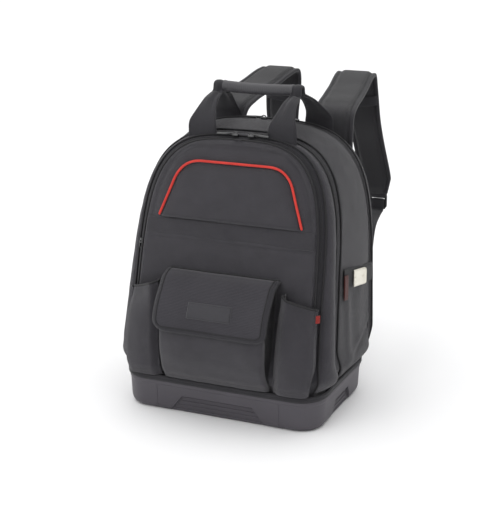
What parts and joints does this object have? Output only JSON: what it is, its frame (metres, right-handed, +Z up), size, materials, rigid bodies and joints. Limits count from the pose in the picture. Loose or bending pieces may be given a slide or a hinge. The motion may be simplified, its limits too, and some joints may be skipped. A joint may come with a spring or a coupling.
{
  "type": "tool backpack",
  "caption": "Black tool backpack on a moulded plastic base, with a zipped front compartment, front pockets, a carry handle and padded shoulder straps.",
  "frame": {"origin": "middle of the moulded base's flat underside", "axes": "+Z up, -Y out of the bag's front, +X to the right of someone facing the front"},
  "size_m": [0.3824, 0.5655, 0.5294],
  "materials": {
    "body_fabric": "coarse woven polyester, matt",
    "moulded_base": "fine-grained moulding",
    "edge_webbing": "flat woven webbing",
    "black_piping": "corded edge",
    "zip_tape": "woven tape with coil teeth",
    "red_piping": "corded edge",
    "label": "plain woven label",
    "grip_rubber": "ribbed",
    "back_mesh": "open spacer mesh over foam",
    "strap_fabric": "padded, mesh-lined",
    "buckle_plastic": "smooth",
    "slider_metal": "black, worn edges",
    "hook_metal": "satin"
  },
  "bodies": {
    "root": {"back_edge": "body_fabric", "back_pad": "back_mesh", "back_wall": "back_mesh", "base_binding": "edge_webbing", "base_tray": "moulded_base", "front_hem": "edge_webbing", "front_panel": "body_fabric", "front_pocket": "body_fabric", "front_zip": "zip_tape", "grip_core": "edge_webbing", "handle_grip": "grip_rubber", "handle_leg_front_left": "edge_webbing", "handle_leg_front_right": "edge_webbing", "handle_leg_rear_left": "edge_webbing", "handle_leg_rear_right": "edge_webbing", "label": "label", "lower_panel": "body_fabric", "lower_webbing_left": "edge_webbing", "lower_webbing_right": "edge_webbing", "mid_gusset": "body_fabric", "mid_zip": "zip_tape", "piping_front": "black_piping", "piping_mid_back": "black_piping", "piping_mid_front": "black_piping", "piping_rear": "black_piping", "pocket_flap": "body_fabric", "rear_gusset": "body_fabric", "rear_zip": "zip_tape", "red_piping": "red_piping", "shoulder_strap_left": "strap_fabric", "shoulder_strap_right": "strap_fabric", "side_hook_left": "hook_metal", "side_hook_right": "hook_metal", "side_pocket_left": "body_fabric", "side_pocket_right": "body_fabric", "side_strap_fold_left": "red_piping", "side_strap_fold_right": "red_piping", "side_strap_left": "edge_webbing", "side_strap_right": "edge_webbing", "strap_band_left": "edge_webbing", "strap_band_right": "edge_webbing", "strap_buckle_left": "buckle_plastic", "strap_buckle_right": "buckle_plastic", "upper_panel": "body_fabric", "yoke": "edge_webbing", "zip_slider_front_left": "slider_metal", "zip_slider_front_right": "slider_metal", "zip_slider_rear_left": "slider_metal", "zip_slider_rear_right": "slider_metal"}
  },
  "joints": []
}
